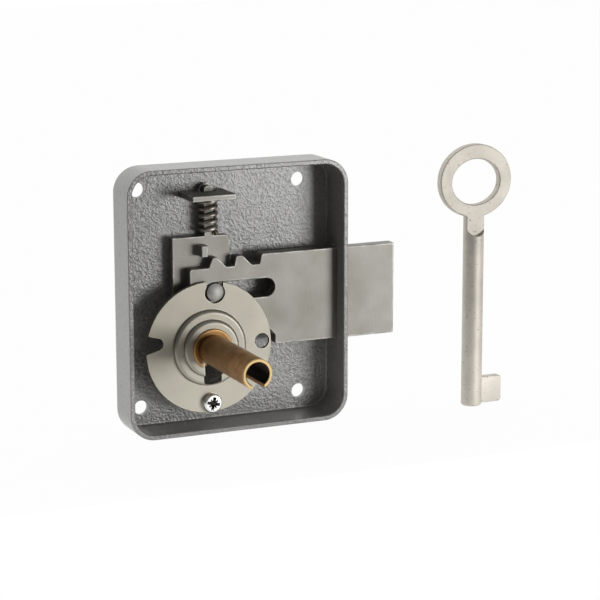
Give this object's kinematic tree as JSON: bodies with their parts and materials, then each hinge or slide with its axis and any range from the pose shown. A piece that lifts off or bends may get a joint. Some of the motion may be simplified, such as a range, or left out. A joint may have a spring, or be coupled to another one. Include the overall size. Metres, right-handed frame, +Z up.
{
  "type": "cabinet lock",
  "caption": "Surface-mounted cabinet lock in a drawn steel tray, with a sliding bolt, spring-loaded tumbler, slit brass key tube and a bit key.",
  "frame": {"origin": "where the key's axis meets the plane of the case's rim, which is the face that lies on the door", "axes": "+X is the way the bolt is thrown, +Y points from the door into the case, and +Z is up; the key tube points along -Y"},
  "size_m": [0.1163, 0.0445, 0.0768],
  "materials": {
    "hammer_paint": "silver-grey hammertone enamel on drawn steel",
    "ground_steel": "plain blanked steel, lightly ground",
    "spring_steel": "oiled spring wire",
    "nickel_plate": "satin nickel plating",
    "zinc_screw": "bright zinc plating",
    "brass": "drawn brass tube, lightly tarnished",
    "key_nickel": "tumbled nickel plating on cast steel"
  },
  "bodies": {
    "lock_case": {"case": "hammer_paint", "spring_bracket": "ground_steel", "guide_stud": "ground_steel", "screw_post": "ground_steel", "key_guide_disc": "nickel_plate", "key_tube": "brass", "tube_collar": "brass", "disc_screw": "zinc_screw"},
    "bolt": {"bolt": "ground_steel"},
    "tumbler": {"tumbler": "ground_steel", "tumbler_stump": "ground_steel", "tumbler_spring": "spring_steel"},
    "key": {"key": "key_nickel"}
  },
  "joints": [
    {"name": "bolt_throw", "type": "slide", "parent": "lock_case", "child": "bolt", "axis": [1, 0, 0], "range_m": [-0.0152, 0]},
    {"name": "tumbler_drop", "type": "slide", "parent": "lock_case", "child": "tumbler", "axis": [0, 0, 1], "range_m": [-0.003, 0], "stiffness_N_per_m": 80, "springref_m": -0.012, "deforming": ["tumbler_spring"]},
    {"name": "key_turn", "type": "hinge", "parent": "lock_case", "child": "key", "pos_m": [0.0804, -0.0008, 0], "axis": [0, 0, 1], "continuous": true}
  ]
}
